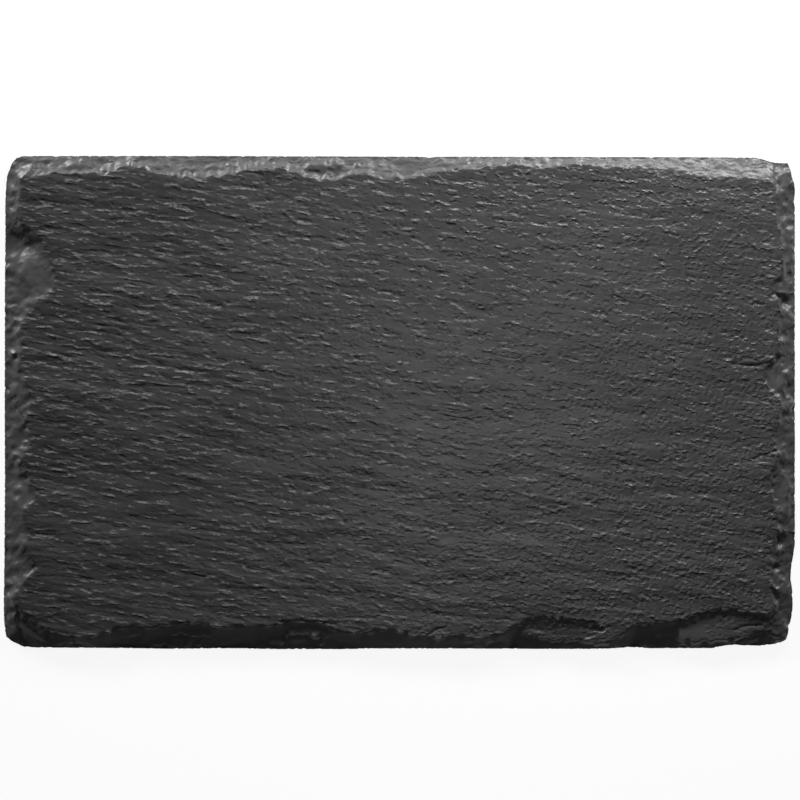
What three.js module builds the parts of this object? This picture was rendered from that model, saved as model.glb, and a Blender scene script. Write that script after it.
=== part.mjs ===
import * as THREE from 'three';

// A slab of riven slate that lies on its flat underside, face up.
// Millimetres, +Z up, +X along the length, +Y to the back edge.
// The origin is the middle of the underside's box.
// Outlines below are measured from the box's front left corner: x to the right, y to the back.

// Driving dimensions
const slabLength = 400;
const slabWidth = 249.5;
const faceLevel = 6;
const grainTiltDegrees = 6;
const stationSpacing = 3.1;
const cornerHubInset = 26;
const cornerSteps = 14;
const rayStart = 1;
const rayReach = 44;
const sideCount = 4;

// The edge profile, from the underside up to the face
const footUndercut = 0.3;
const treadRise = 0.12;
const arrisWidth = 0.5;
const arrisDrop = 0.45;
const innerGap = 0.15;
const leastGap = 0.07;

// The grid of points inside the face, clear of the deepest break in the rim
const gridMargin = { left: 30, right: 19, front: 24, back: 17 };
const gridColumns = 29;
const gridRows = 42;

// The underside's plain middle
const undersideMargin = 60;

// Low waves of the split face. Each one runs with the grain and bends as it goes.
const faceWaves = [
  { height: 0.1, wavelength: 58, phase: 0.4, bend: 0.8, bendLength: 190 },
  { height: 0.09, wavelength: 27, phase: 2.1, bend: 1.2, bendLength: 120 },
  { height: 0.08, wavelength: 14, phase: 4.4, bend: 1.6, bendLength: 83 },
  { height: 0.03, wavelength: 11, phase: 1.2, bend: 2.1, bendLength: 47 },
];

// Outer edge of the slab
const outerEdge = [
  [10.6, 0.9], [28.8, 0.8], [54, 0.6], [82, 0.2], [115, 0.4], [140, 0], [170, 0], [185, 0.3],
  [226, 0.4], [261, 0.2], [301, 0.1], [318.5, 1], [327.5, 0.4], [359, 0.6], [364, 1.9], [370, 2.4],
  [374, 1.9], [383, 1.8], [391, 2.9], [394.7, 3.9], [396.4, 6], [396.7, 11.5], [398.2, 15],
  [398.9, 21], [398.7, 30], [397.7, 36], [398.2, 42], [399.2, 47.5], [400, 53], [400, 224],
  [399.4, 226], [400, 229], [400, 234.5], [398.2, 239], [397.5, 244.2], [396.4, 245.8],
  [389.6, 246], [385, 247.2], [381, 248.6], [352, 248.8], [301, 248.9], [220.5, 249.1],
  [215.5, 248.6], [210.5, 249.1], [150, 249.3], [99, 249.5], [20, 249.5], [7, 249.4], [4, 245.7],
  [2.5, 242], [1.5, 239], [1, 233], [0.7, 227], [0.7, 215], [0.4, 176], [0.4, 75], [0.2, 45],
  [0, 28], [0, 16], [0.3, 11], [1, 7], [1.8, 4.4], [4.5, 3.9], [7.6, 2.4],
];

// Rim of the face, where the chipped edges begin
const frontRim = [
  [10.6, 12.3], [13.6, 10], [16.7, 8.5], [21.7, 7], [26.7, 6], [35.8, 5.5], [45, 6.5], [49, 8.5],
  [53, 10], [60, 11], [69, 12], [75, 11.5], [81, 12], [87.3, 13.5], [94.5, 14], [102.5, 13.5],
  [107.5, 12], [111.5, 11.5], [124.7, 12], [133.7, 12.3], [139.8, 13.5], [148, 14.5], [160, 13.8],
  [167, 11.5], [170, 9], [181, 9], [193, 10.5], [198.3, 9.5], [202.4, 9.5], [206.4, 7.2],
  [213.5, 6.5], [222.6, 5.7], [225.6, 6.5], [230.6, 7], [237.7, 5.5], [244.3, 5.7], [246.3, 7.5],
  [254, 8], [257, 10.5], [260, 13.5], [265, 14.5], [268, 16], [277, 16], [279.6, 13.5],
  [288.7, 12.5], [292.2, 9.5], [295.2, 6], [307, 5.2], [311.4, 7.5], [316.4, 11], [321.5, 13.3],
  [329.6, 13.5], [337.6, 14], [346.7, 16.3], [353.3, 18.6], [365, 19.8], [374.5, 19.6], [383, 18],
];
const rightRim = [
  [388, 18.6], [389.6, 22], [389.6, 25.6], [386.6, 27], [386, 30.2], [388.6, 31], [386, 36.7],
  [386, 40.3], [388, 44.3], [386, 47.8], [387, 50.4], [389, 52], [389, 55.4], [390.6, 58],
  [391.6, 60.5], [390.6, 63.5], [391.6, 67], [389.6, 74], [387, 80.6], [386.6, 87.2], [388, 91.3],
  [391.6, 94.8], [391, 99.8], [388, 102.8], [388.6, 107], [390.6, 111], [392, 118], [393, 122],
  [392.6, 127], [388, 129.6], [385.6, 132], [384.6, 137.7], [385, 142.7], [388, 145.8],
  [391, 148.8], [392.6, 152.3], [392, 158], [390.6, 162.4], [392, 170.5], [392, 176.5],
  [388, 179], [387.6, 185.6], [393, 187], [393.6, 195.7], [393, 204.3], [391.6, 211], [390, 216],
  [389, 221.5], [390.6, 225.5], [391.6, 231], [390.6, 234], [388, 236.4],
];
const backRim = [
  [383, 237.4], [374.5, 238.4], [352.3, 239], [347.7, 240.5], [341.7, 242.2], [321.5, 243.7],
  [302.3, 243.7], [293.7, 245.3], [286.2, 245], [281, 243.7], [272, 242.7], [266, 243.5],
  [261, 245], [250.8, 244.7], [242.8, 243.2], [231.7, 242.2], [220.6, 241.7], [216.5, 240.2],
  [205.4, 238.1], [191.3, 237.9], [183.2, 239.7], [176, 239.7], [170, 238.1], [160, 238.1],
  [151.4, 239.2], [148, 241.2], [143.8, 240.2], [141.3, 243.2], [130.7, 242.7], [120, 241.7],
  [117.6, 240.7], [112, 239.9], [110.5, 238.9], [99.4, 238.1], [84.3, 239.2], [75.2, 240.9],
  [72.2, 242.9], [67, 243.9], [55.5, 243.2], [52, 239.9], [44, 240.7], [28.8, 240.4], [18.7, 239.2],
];
const leftRim = [
  [8.8, 239.2], [8.8, 232], [8, 224.5], [6, 221.5], [8.6, 213], [12.6, 211.6], [16.7, 208.8],
  [19.7, 204.3], [21.7, 199.8], [23.7, 195.7], [25.7, 191.7], [25.7, 181], [22.7, 178.6],
  [16.7, 178], [15.6, 174], [12.6, 170], [8.6, 164], [8, 159.4], [9.6, 155], [7, 149.3],
  [8.6, 145.3], [10, 139.7], [11.6, 134.2], [14, 127.6], [14, 123], [10, 118], [13, 111],
  [12.6, 103], [8.6, 99.3], [5.6, 97.8], [9.6, 94.3], [12, 87.7], [14, 83], [18, 78.6],
  [16.7, 75.4], [10.6, 73.6], [8.6, 69.5], [10.6, 64], [13.6, 58.4], [8.6, 54.4], [10, 50],
  [14, 44.8], [17, 41.3], [14, 38.2], [10.6, 36.2], [7, 30.2], [3.4, 25.1], [5.6, 21.6],
  [8.6, 17], [8.6, 13],
];
const faceRim = [...frontRim, ...rightRim, ...backRim, ...leftRim];

// Ledges and pits that broken flakes left in the chipped edges, each with the height of its floor
const frontLedges = [
  { height: 4.9, outline: [[48, 5.8], [51, 8], [60, 10.3], [60, 8.5], [54, 7]] },
  { height: 4.6, outline: [[61, 8.5], [61, 10.8], [69, 11.5], [72, 10.5], [70, 7.5]] },
  { height: 3, outline: [[75, 4], [79, 7.3], [86, 7.6], [93, 6], [92, 3.2], [82, 3]] },
  { height: 4.7, outline: [[83, 8.5], [92, 13], [102, 12.5], [107, 10], [104, 7.5], [93, 7.6]] },
  { height: 3.4, outline: [[110, 6], [112, 9], [118, 9.3], [125, 8.6], [123, 6.4], [116, 5.3]] },
  { height: 2.6, outline: [
    [134, 2], [134.5, 7], [147, 7], [154, 6.6], [159, 5.4], [150, 3.4], [144, 2.2],
  ] },
  { height: 5.3, outline: [
    [143, 8], [145, 13.3], [150, 14], [160, 13.2], [167, 11], [168, 8.4], [161, 6.6], [152, 8],
  ] },
  { height: 2.8, outline: [[180, 5], [181, 6.8], [187, 7], [190, 5.8], [186, 4.8]] },
  { height: 4.6, outline: [[188, 7.4], [191, 9.3], [198, 9], [203, 8], [204, 6], [196, 6]] },
  { height: 4.4, outline: [
    [263, 8], [264, 13], [269, 15.2], [277, 15.2], [279, 13], [277, 9.5], [270, 7.6],
  ] },
  { height: 3.5, outline: [[276, 6], [279, 8.6], [285, 10.5], [291, 9.4], [291, 6], [283, 5]] },
  { height: 3.2, outline: [[318, 6], [321, 12], [326, 12.4], [330, 11], [329, 6], [324, 5]] },
  { height: 4.5, outline: [
    [341.2, 5], [341.5, 9], [344, 11], [352, 14], [358, 17], [366, 18.8], [373, 18.5], [381, 16.8],
    [384, 15], [386.6, 12], [385, 10], [378, 8], [372, 6], [364, 4.4],
  ] },
  { height: 3.4, outline: [
    [386, 6], [388.5, 12], [391, 16.5], [395, 15], [395.8, 8], [394, 5.4], [390, 4.6],
  ] },
];
const rightLedges = [
  { height: 4.2, outline: [[387, 37], [389.6, 32], [392, 30], [395, 29], [395.4, 34], [392, 38]] },
  { height: 2.4, outline: [[388.6, 43], [388.2, 39.6], [394, 39.2], [394.4, 43]] },
  { height: 2.6, outline: [[390.4, 56.8], [390.4, 52], [394.6, 51.6], [395, 57]] },
  { height: 4.2, outline: [[388, 88], [390, 78], [392, 70], [396, 69], [397, 86], [392, 91]] },
  { height: 3.8, outline: [[394, 127], [394, 121], [398.6, 121], [398.6, 127]] },
  { height: 1.8, outline: [[396.2, 134.6], [396.2, 128.6], [398.8, 128.6], [398.8, 134.6]] },
  { height: 4.7, outline: [
    [385.6, 142], [385.4, 134], [388, 131], [393, 129.5], [395, 134], [395, 141], [391, 145],
  ] },
  { height: 3.8, outline: [[393.4, 170.5], [392.6, 163], [398.6, 162], [398.8, 170.5]] },
  { height: 1.8, outline: [[393.6, 178], [393.6, 173], [398.6, 173], [398.6, 178]] },
  { height: 4.9, outline: [[388.4, 185], [388.6, 180], [393, 179.6], [394, 184.6]] },
  { height: 3.2, outline: [[395, 212], [394.8, 197], [398.6, 197], [398.8, 211]] },
  { height: 4.1, outline: [[392.4, 233], [391.6, 237], [393, 241], [397, 243], [398.4, 234]] },
];
const backLedges = [
  { height: 4.7, outline: [[152, 243], [170, 243.4], [170, 244.6], [152, 244.2]] },
  { height: 3.8, outline: [
    [152, 239.8], [156, 241.6], [162, 242.4], [170, 242], [170.5, 238.8], [160, 238.8],
  ] },
];
const leftLedges = [
  { height: 1.6, outline: [[1.2, 203], [1.4, 214], [7.6, 208.5], [7, 203]] },
  { height: 4.9, outline: [
    [8.8, 196], [14, 201], [21, 198], [25, 191], [25, 182], [22, 179.2], [14, 180], [10, 186],
  ] },
  { height: 3, outline: [[2, 190], [3, 198], [8, 199], [8, 190]] },
  { height: 3.2, outline: [[3, 170], [3, 180], [8, 181], [9, 172]] },
  { height: 4.6, outline: [[4.5, 130], [8, 134], [11, 131], [13.4, 126], [12, 122.5], [8, 123.5]] },
  { height: 3.6, outline: [[3, 103], [4, 110], [10, 112], [12, 108], [11.6, 103], [7, 101.5]] },
  { height: 4.8, outline: [[7, 76], [9, 82], [13, 81], [17.2, 78], [16, 75.8], [9, 74.4]] },
  { height: 3.4, outline: [[3, 48], [3, 62], [7.6, 63.5], [9.3, 58], [7.5, 52], [8, 48.6]] },
  { height: 4.4, outline: [[6, 41], [7.5, 47.6], [11, 46.2], [15.4, 41.5], [12, 39]] },
  { height: 3.8, outline: [[1, 17], [1.2, 29], [3, 25], [5, 19], [4, 15]] },
];
const ledges = [...frontLedges, ...rightLedges, ...backLedges, ...leftLedges];

// Small chips between the ledges, made at random from a fixed seed
const chipSeed = 41;
const stationsPerChip = 3;
const chipRanges = {
  lipHeight: [0.6, 1.7],
  lowerPlace: [0.18, 0.36],
  lowerWidth: [0.04, 0.16],
  lowerSag: [0.55, 1.15],
  upperPlace: [0.52, 0.72],
  upperWidth: [0.05, 0.18],
  upperSag: [0.75, 1.1],
};

const slateColour = 0x3d3d3f;
const slateRoughness = 0.78;

const lerp = THREE.MathUtils.lerp;
const grainSlope = Math.tan(THREE.MathUtils.degToRad(grainTiltDegrees));

// Height of the split face at a place on the slab
function faceHeight(x, y) {
  const across = y + x * grainSlope;
  const along = x - y * grainSlope;
  let height = faceLevel;
  for (const wave of faceWaves) {
    const bend = wave.bend * Math.sin((2 * Math.PI * along) / wave.bendLength + wave.phase);
    height += wave.height * Math.sin((2 * Math.PI * across) / wave.wavelength + wave.phase + bend);
  }
  return height;
}

// Stations go round the slab. Each is a ray that starts outside and points in.
// Its gridPlace says which side of the grid it faces, and how far along that side.
function stationsRound() {
  const inset = cornerHubInset;
  const { left, right, front, back } = gridMargin;
  const found = [];
  const sides = [
    { start: [0, 0], run: [1, 0], length: slabLength, before: left, after: right },
    { start: [slabLength, 0], run: [0, 1], length: slabWidth, before: front, after: back },
    { start: [slabLength, slabWidth], run: [-1, 0], length: slabLength, before: right, after: left },
    { start: [0, slabWidth], run: [0, -1], length: slabWidth, before: back, after: front },
  ];
  sides.forEach((side, number) => {
    const [runX, runY] = side.run;
    const inward = [-runY, runX];
    const straight = side.length - 2 * inset;
    const steps = Math.round(straight / stationSpacing);
    const gridSide = side.length - side.before - side.after;
    for (let step = 0; step < steps; step += 1) {
      const along = inset + (straight * step) / steps;
      found.push({
        origin: [
          side.start[0] + runX * along - inward[0] * rayStart,
          side.start[1] + runY * along - inward[1] * rayStart,
        ],
        inward,
        gridPlace: number + THREE.MathUtils.clamp((along - side.before) / gridSide, 0, 1),
      });
    }
    const hubAlong = side.length - inset;
    const hub = [
      side.start[0] + runX * hubAlong + inward[0] * inset,
      side.start[1] + runY * hubAlong + inward[1] * inset,
    ];
    for (let step = 0; step < cornerSteps; step += 1) {
      const turn = (Math.PI / 2) * (step / cornerSteps);
      const direction = [
        inward[0] * Math.cos(turn) - runX * Math.sin(turn),
        inward[1] * Math.cos(turn) - runY * Math.sin(turn),
      ];
      found.push({
        origin: [hub[0] - direction[0] * rayReach, hub[1] - direction[1] * rayReach],
        inward: direction,
        gridPlace: number + 1,
      });
    }
  });
  return found;
}

// Distances along a station's ray at which it crosses a closed outline, nearest first
function crossings(station, outline) {
  const [originX, originY] = station.origin;
  const [rayX, rayY] = station.inward;
  const found = [];
  outline.forEach(([fromX, fromY], index) => {
    const [toX, toY] = outline[(index + 1) % outline.length];
    const edgeX = toX - fromX;
    const edgeY = toY - fromY;
    const cross = rayX * edgeY - rayY * edgeX;
    if (cross === 0) return;
    const startX = fromX - originX;
    const startY = fromY - originY;
    const distance = (startX * edgeY - startY * edgeX) / cross;
    const share = (startX * rayY - startY * rayX) / cross;
    if (distance > 0 && distance < rayReach && share >= 0 && share < 1) found.push(distance);
  });
  return found.sort((first, second) => first - second);
}

function pointOn(station, distance) {
  return [
    station.origin[0] + station.inward[0] * distance,
    station.origin[1] + station.inward[1] * distance,
  ];
}

function randomChip() {
  const sizes = Object.entries(chipRanges).map(([name, [least, most]]) => (
    [name, lerp(least, most, THREE.MathUtils.seededRandom())]
  ));
  return Object.fromEntries(sizes);
}

function blendChips(before, after, share) {
  const sizes = Object.keys(chipRanges).map((name) => [name, lerp(before[name], after[name], share)]);
  return Object.fromEntries(sizes);
}

// Sizes of the chips at every station, with the values between two chips blended
function chipsRound(count) {
  THREE.MathUtils.seededRandom(chipSeed);
  const chipCount = Math.ceil(count / stationsPerChip);
  const made = Array.from({ length: chipCount }, randomChip);
  return Array.from({ length: count }, (_, index) => {
    const place = index / stationsPerChip;
    const before = made[Math.floor(place) % chipCount];
    const after = made[(Math.floor(place) + 1) % chipCount];
    return blendChips(before, after, place % 1);
  });
}

// A chip's own small ledge between two points of the profile
function chippedLedge(from, to, place, width, sag) {
  return {
    outer: lerp(from.distance, to.distance, place),
    inner: lerp(from.distance, to.distance, place + width),
    height: lerp(from.height, to.height, place * sag),
  };
}

// The two ledges in the profile of a station, the lower one first
function ledgesAt(station, chip, lip, rim) {
  const named = [];
  for (const ledge of ledges) {
    const hits = crossings(station, ledge.outline);
    if (hits.length > 1) named.push({ outer: hits[0], inner: hits.at(-1), height: ledge.height });
  }
  named.sort((first, second) => first.outer - second.outer);
  if (named.length > 1) return named.slice(0, 2);
  if (named.length === 1) {
    const start = { distance: named[0].outer, height: named[0].height };
    return [chippedLedge(lip, start, chip.upperPlace, chip.upperWidth, chip.upperSag), named[0]];
  }
  return [
    chippedLedge(lip, rim, chip.lowerPlace, chip.lowerWidth, chip.lowerSag),
    chippedLedge(lip, rim, chip.upperPlace, chip.upperWidth, chip.upperSag),
  ];
}

// Distance and height pairs from the foot of the slab to the rim of its face
function profileAt(station, chip) {
  const edgeDistance = crossings(station, outerEdge)[0];
  const rimDistance = crossings(station, faceRim)[0];
  const top = faceHeight(...pointOn(station, rimDistance));
  const lip = { distance: edgeDistance, height: chip.lipHeight };
  const rim = { distance: rimDistance, height: top };
  const [lower, upper] = ledgesAt(station, chip, lip, rim);
  const profile = [
    [edgeDistance + footUndercut, 0],
    [edgeDistance, chip.lipHeight],
    [lower.outer, lower.height],
    [lower.inner, lower.height + treadRise],
    [upper.outer, upper.height],
    [upper.inner, upper.height + treadRise],
    [rimDistance - arrisWidth, top - arrisDrop],
    [rimDistance, top],
  ];
  // No step of the profile runs back over the one outside it
  for (let index = profile.length - 2; index > 1; index -= 1) {
    profile[index][0] = Math.min(profile[index][0], profile[index + 1][0] - innerGap);
  }
  for (let index = 2; index < profile.length - 1; index += 1) {
    profile[index][0] = Math.max(profile[index][0], profile[index - 1][0] + leastGap);
  }
  return profile;
}

// Vertices and triangles of the solid
const positions = [];
const triangles = [];

function addVertex(x, y, z) {
  positions.push(x - slabLength / 2, y - slabWidth / 2, z);
  return positions.length / 3 - 1;
}

function addQuad(first, second, third, fourth) {
  triangles.push(first, second, third, first, third, fourth);
}

// Joins an outer loop to an inner one, both anticlockwise seen from the side that shows.
// Each point has an index and a place from 0 to 4, and the loop with the lower next place moves on.
function zipLoops(outer, inner, turned) {
  let outerStep = 0;
  let innerStep = 0;
  const at = (loop, step) => loop[step % loop.length].index;
  const nextPlace = (loop, step) => (step + 1 < loop.length ? loop[step + 1].place : sideCount);
  while (outerStep < outer.length || innerStep < inner.length) {
    const outerNext = outerStep < outer.length ? nextPlace(outer, outerStep) : Infinity;
    const innerNext = innerStep < inner.length ? nextPlace(inner, innerStep) : Infinity;
    const corners = [at(outer, outerStep), 0, at(inner, innerStep)];
    if (outerNext <= innerNext) {
      outerStep += 1;
      corners[1] = at(outer, outerStep);
    } else {
      innerStep += 1;
      corners[1] = at(inner, innerStep);
    }
    if (turned) corners.reverse();
    triangles.push(...corners);
  }
}

const stations = stationsRound();
const chips = chipsRound(stations.length);

// The chipped edges all round
const rings = stations.map((station, index) => {
  const profile = profileAt(station, chips[index]);
  return profile.map(([distance, height]) => addVertex(...pointOn(station, distance), height));
});
rings.forEach((ring, number) => {
  const nextRing = rings[(number + 1) % rings.length];
  for (let index = 0; index < ring.length - 1; index += 1) {
    addQuad(ring[index], nextRing[index], nextRing[index + 1], ring[index + 1]);
  }
});

// The face inside the rim. Its rows tilt with the grain, and level out at the front and back.
const gridLength = slabLength - gridMargin.left - gridMargin.right;
const gridWidth = slabWidth - gridMargin.front - gridMargin.back;

function gridPoint(row, column) {
  const x = gridMargin.left + (gridLength * column) / gridColumns;
  const tilt = grainSlope * gridLength * (0.5 - column / gridColumns);
  const level = gridMargin.front + (gridWidth * row) / gridRows;
  const y = level + tilt * Math.sin((Math.PI * row) / gridRows);
  return { x, y, index: addVertex(x, y, faceHeight(x, y)) };
}

const grid = Array.from({ length: gridRows + 1 }, (_, row) => (
  Array.from({ length: gridColumns + 1 }, (__, column) => gridPoint(row, column))
));
for (let row = 0; row < gridRows; row += 1) {
  const near = grid[row];
  const far = grid[row + 1];
  for (let column = 0; column < gridColumns; column += 1) {
    addQuad(near[column + 1].index, far[column + 1].index, far[column].index, near[column].index);
  }
}
const frontPoints = grid[0].slice(0, -1);
const rightPoints = grid.slice(0, -1).map((row) => row.at(-1));
const backPoints = grid.at(-1).slice(1).reverse();
const leftPoints = grid.slice(1).map((row) => row[0]).reverse();
const gridLoop = [
  ...frontPoints.map(({ x, index }) => ({ index, place: (x - gridMargin.left) / gridLength })),
  ...rightPoints.map(({ y, index }) => ({ index, place: 1 + (y - gridMargin.front) / gridWidth })),
  ...backPoints.map(({ x, index }) => ({ index, place: 3 - (x - gridMargin.left) / gridLength })),
  ...leftPoints.map(({ y, index }) => ({ index, place: 4 - (y - gridMargin.front) / gridWidth })),
];
const rimLoop = stations.map(({ gridPlace }, number) => ({ index: rings[number].at(-1), place: gridPlace }));
zipLoops(rimLoop, gridLoop, false);

// The flat underside
const footLoop = stations.map(({ gridPlace }, number) => ({ index: rings[number][0], place: gridPlace }));
const middleLoop = [
  [undersideMargin, undersideMargin],
  [slabLength - undersideMargin, undersideMargin],
  [slabLength - undersideMargin, slabWidth - undersideMargin],
  [undersideMargin, slabWidth - undersideMargin],
].map(([x, y], corner) => ({ index: addVertex(x, y, 0), place: corner }));
zipLoops(footLoop, middleLoop, true);
addQuad(middleLoop[3].index, middleLoop[2].index, middleLoop[1].index, middleLoop[0].index);

const geometry = new THREE.BufferGeometry();
geometry.setAttribute('position', new THREE.Float32BufferAttribute(positions, 3));
geometry.setIndex(triangles);
geometry.computeVertexNormals();

const slate = new THREE.MeshStandardMaterial({
  color: slateColour,
  roughness: slateRoughness,
  metalness: 0,
  flatShading: true,
});
const slab = new THREE.Mesh(geometry, slate);
slab.name = 'slab';

const part = new THREE.Group();
part.add(slab);

export default part;
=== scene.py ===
import math
import time

import bpy
import numpy as np
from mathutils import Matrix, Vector
from mathutils.bvhtree import BVHTree
from mathutils.geometry import delaunay_2d_cdt


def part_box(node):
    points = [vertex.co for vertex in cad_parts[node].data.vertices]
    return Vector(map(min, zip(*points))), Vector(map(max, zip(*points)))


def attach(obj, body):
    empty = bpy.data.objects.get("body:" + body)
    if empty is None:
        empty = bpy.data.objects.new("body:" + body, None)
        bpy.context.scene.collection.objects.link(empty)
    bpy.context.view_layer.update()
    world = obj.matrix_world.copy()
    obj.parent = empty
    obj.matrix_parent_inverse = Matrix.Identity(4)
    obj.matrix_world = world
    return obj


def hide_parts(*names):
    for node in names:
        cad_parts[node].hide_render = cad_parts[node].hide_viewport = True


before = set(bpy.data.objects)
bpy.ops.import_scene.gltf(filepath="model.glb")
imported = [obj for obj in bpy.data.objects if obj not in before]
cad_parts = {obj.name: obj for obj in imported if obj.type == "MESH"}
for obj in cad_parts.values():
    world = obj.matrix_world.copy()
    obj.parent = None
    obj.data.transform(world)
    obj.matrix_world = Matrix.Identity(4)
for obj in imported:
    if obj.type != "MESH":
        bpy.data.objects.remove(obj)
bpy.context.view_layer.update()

# The stone is worked in millimetres from the middle of its underside, and turned into
# metres at the end
mm = 0.001
startTime = time.time()


def tell(stage):
    print(f"slate slab: {stage} ({time.time() - startTime:.1f} s)")


# The rough block, read from the CAD stone

block = {
    "cell": 0.25,          # spacing of the height map
    "rayEvery": 2,         # a ray falls on every second cell
    "margin": 2.5,         # height map beyond the stone
    "spread": 14,          # rings of cells filled outside the outline
    "faceFrom": 5.52,      # lower than this is broken edge
    "faceTo": 5.74,        # higher than this is riven face
    "faceLevel": 6.0,
    "grainTilt": 6.0,      # degrees, the grain falls to the right
}

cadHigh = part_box("slab")[1]
halfLength = cadHigh.x / mm
halfWidth = cadHigh.y / mm
topLevel = cadHigh.z / mm

mapLeft = -halfLength - block["margin"]
mapFront = -halfWidth - block["margin"]
columns = int(round(-2 * mapLeft / block["cell"])) // 2 * 2 + 1
rows = int(round(-2 * mapFront / block["cell"])) // 2 * 2 + 1
mapX, mapY = np.meshgrid(
    mapLeft + block["cell"] * np.arange(columns),
    mapFront + block["cell"] * np.arange(rows),
)


def cadTree():
    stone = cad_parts["slab"].data
    points = [vertex.co.copy() for vertex in stone.vertices]
    faces = [tuple(face.vertices) for face in stone.polygons]
    return BVHTree.FromPolygons(points, faces)


rayTree = cadTree()
straightDown = Vector((0, 0, -1))
rayStart = 0.02        # metres, well above the stone


def heightBelow(x, y):
    # height of the CAD stone under a point, or None beside it
    hit = rayTree.ray_cast(Vector((x * mm, y * mm, rayStart)), straightDown)[0]
    return None if hit is None else hit.z / mm


def readMap(field, x, y):
    # value of a map between its cells
    column = np.clip((x - mapLeft) / block["cell"], 0, columns - 1.001)
    row = np.clip((y - mapFront) / block["cell"], 0, rows - 1.001)
    c = column.astype(int)
    r = row.astype(int)
    fc = column - c
    fr = row - r
    lower = field[r, c] * (1 - fc) + field[r, c + 1] * fc
    upper = field[r + 1, c] * (1 - fc) + field[r + 1, c + 1] * fc
    return lower * (1 - fr) + upper * fr


def ease(low, high, value):
    # 0 up to low, 1 from high, smooth between
    t = np.clip((value - low) / (high - low), 0, 1)
    return t * t * (3 - 2 * t)


def fillBeside(field, rings):
    # heights carried outwards from the outline, ring by ring
    for _ in range(rings):
        known = np.isfinite(field)
        total = np.zeros_like(field)
        count = np.zeros_like(field)
        for dr, dc in ((0, 1), (0, -1), (1, 0), (-1, 0), (1, 1), (1, -1), (-1, 1), (-1, -1)):
            moved = np.roll(field, (dr, dc), axis=(0, 1))
            there = np.isfinite(moved)
            total += np.where(there, moved, 0)
            count += there
        edge = ~known & (count > 0)
        field[edge] = total[edge] / count[edge]
    field[~np.isfinite(field)] = 0
    return field


def roughBlock():
    step = block["rayEvery"]
    coarse = np.full((rows // step + 1, columns // step + 1), np.nan)
    for r in range(coarse.shape[0]):
        y = mapFront + r * step * block["cell"]
        for c in range(coarse.shape[1]):
            height = heightBelow(mapLeft + c * step * block["cell"], y)
            if height is not None:
                coarse[r, c] = height
    covered = np.isfinite(coarse)
    fillBeside(coarse, block["spread"])
    fine = np.zeros((rows, columns))
    fine[::2, ::2] = coarse
    fine[1::2, ::2] = (coarse[1:, :] + coarse[:-1, :]) / 2
    fine[:, 1::2] = (fine[:, 2::2] + fine[:, :-1:2]) / 2
    solid = np.repeat(np.repeat(covered, 2, axis=0), 2, axis=1)[:rows, :columns]
    return fine, solid


cadHeight, insideStone = roughBlock()
tell(f"read the block, {columns} by {rows} cells")

# Noise and blurring on the height map

waveX = np.fft.rfftfreq(columns, block["cell"])[None, :]
waveY = np.fft.fftfreq(rows, block["cell"])[:, None]
waveAny = np.hypot(waveX, waveY)


def filtered(field, weight):
    return np.fft.irfft2(np.fft.rfft2(field) * weight, s=(rows, columns))


def evened(field):
    # mean 0 and spread 1
    return (field - field.mean()) / field.std()


def riven(seed, wavelength, length, spread, tilt):
    # streaks with this wavelength across the grain and this length along it
    white = np.random.default_rng(seed).standard_normal((rows, columns))
    turn = math.radians(tilt)
    across = waveY * math.cos(turn) + waveX * math.sin(turn)
    along = waveX * math.cos(turn) - waveY * math.sin(turn)
    offBand = (np.abs(across) * wavelength - 1) / spread
    band = np.exp(-offBand ** 2 / 2 - 2 * (math.pi * length * along) ** 2)
    return evened(filtered(white, band))


def clouds(seed, wavelength, spread=0.5):
    # lumps of this wavelength, the same in every direction
    white = np.random.default_rng(seed).standard_normal((rows, columns))
    return evened(filtered(white, np.exp(-((waveAny * wavelength - 1) / spread) ** 2 / 2)))


def crumble(seed, largest, smallest, falloff):
    # broken stone: lumps from the largest to the smallest size
    white = np.random.default_rng(seed).standard_normal((rows, columns))
    frequency = np.maximum(waveAny, 1e-6)
    band = ease(0.5 / largest, 1 / largest, frequency) * np.exp(-(frequency * smallest) ** 2)
    return evened(filtered(white, band * frequency ** -falloff))


def softened(field, radius):
    return filtered(field, np.exp(-2 * (math.pi * radius * waveAny) ** 2))


# The riven face

face = {
    # the long swells of the CAD stone's face, from its front left corner:
    # height, wavelength, phase, bend, length of the bend
    "swells": (
        (0.1, 58, 0.4, 0.8, 190),
        (0.09, 27, 2.1, 1.2, 120),
        (0.08, 14, 4.4, 1.6, 83),
        (0.03, 11, 1.2, 2.1, 47),
    ),
    "streakTilt": 9.0,     # degrees
    # seed, wavelength across the grain, length along it, spread, height, lean to the
    # back, unevenness
    "streaks": (
        (11, 3.8, 5.0, 0.50, 0.040, 0.50, 0.50),
        (13, 9.0, 8.0, 0.60, 0.060, 0.30, 0.20),
        (14, 3.2, 1.4, 0.50, 0.018, 0.30, 0.40),
    ),
    "patches": (12, 5.0, 3.0, 0.7),     # seed, wavelength, length, spread
    "lumps": (15, 3.4, 0.012),          # seed, size, height
    "deepest": 0.26,                    # most of all together
    "wander": (21, 90, 1.2),            # seed, size, reach
    "strength": (22, 22, 0.18),         # seed, size, unevenness
    "weaker": (0.4, -0.9),      # the streaks weaken this way, to the right and the front
    "weakening": (-80, 20, 1.15, 0.75),     # from and to that way, strength at both
}


def swellHeight(x, y):
    slope = math.tan(math.radians(block["grainTilt"]))
    across = (y + halfWidth) + (x + halfLength) * slope
    along = (x + halfLength) - (y + halfWidth) * slope
    height = np.full_like(x, block["faceLevel"])
    for rise, wavelength, phase, bend, bendLength in face["swells"]:
        turn = bend * np.sin(2 * math.pi * along / bendLength + phase)
        height += rise * np.sin(2 * math.pi * across / wavelength + phase + turn)
    return height


def leaned(field, wavelength, lean):
    # crests pushed to the back, so that the steep sides face it
    return readMap(field, mapX, mapY - lean * wavelength / (2 * math.pi) * field)


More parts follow.
